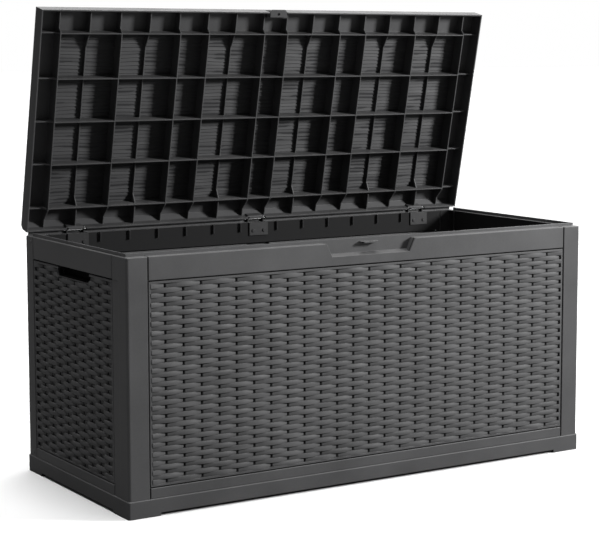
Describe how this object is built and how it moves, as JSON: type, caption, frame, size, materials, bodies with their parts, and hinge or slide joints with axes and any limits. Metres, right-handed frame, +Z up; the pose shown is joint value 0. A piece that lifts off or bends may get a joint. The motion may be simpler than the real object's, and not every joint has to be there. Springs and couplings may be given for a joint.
{
  "type": "deck storage box",
  "caption": "Resin outdoor storage box with wicker-pattern walls, corner posts, side hand grips and a ribbed lid hinged along the back edge.",
  "frame": {"origin": "on the floor, under the middle of the box, at the centre foot of the floor beam", "axes": "+Z up, the front of the box faces -Y, +X runs along the box to the right as seen from the front"},
  "size_m": [1.216, 0.5419, 1.0654],
  "materials": {
    "body_resin": "satin charcoal moulded resin with a fine grain",
    "wicker_resin": "satin charcoal moulded resin with a woven relief",
    "base_resin": "satin charcoal moulded resin",
    "lid_resin": "satin charcoal moulded resin",
    "bracket_steel": "black powder coat",
    "pin_steel": "plain zinc-plated steel"
  },
  "bodies": {
    "box": {"base_frame": "base_resin", "floor_panel_left": "base_resin", "floor_panel_right": "base_resin", "floor_beam": "base_resin", "corner_post_front_left": "body_resin", "corner_post_front_right": "body_resin", "corner_post_rear_left": "body_resin", "corner_post_rear_right": "body_resin", "top_rail_front": "body_resin", "top_rail_rear": "body_resin", "top_rail_left": "body_resin", "top_rail_right": "body_resin", "lower_rail_front": "body_resin", "lower_rail_rear": "body_resin", "lower_rail_left": "body_resin", "lower_rail_right": "body_resin", "wicker_panel_front": "wicker_resin", "wicker_panel_rear": "wicker_resin", "wicker_panel_left": "wicker_resin", "wicker_panel_right": "wicker_resin", "strike_tab": "body_resin", "hinge_bracket_left": "bracket_steel", "hinge_bracket_centre": "bracket_steel", "hinge_bracket_right": "bracket_steel", "hinge_pin_left": "pin_steel", "hinge_pin_centre": "pin_steel", "hinge_pin_right": "pin_steel", "bracket_screws": "bracket_steel", "locking_pins": "body_resin"},
    "lid": {"lid_shell": "lid_resin", "lid_hasp": "lid_resin"}
  },
  "joints": [
    {"name": "lid_hinge", "type": "hinge", "parent": "box", "child": "lid", "pos_m": [0, 0.256, 0.5595], "axis": [-1, 0, 0], "range_deg": [-77.65, 17.35]}
  ]
}
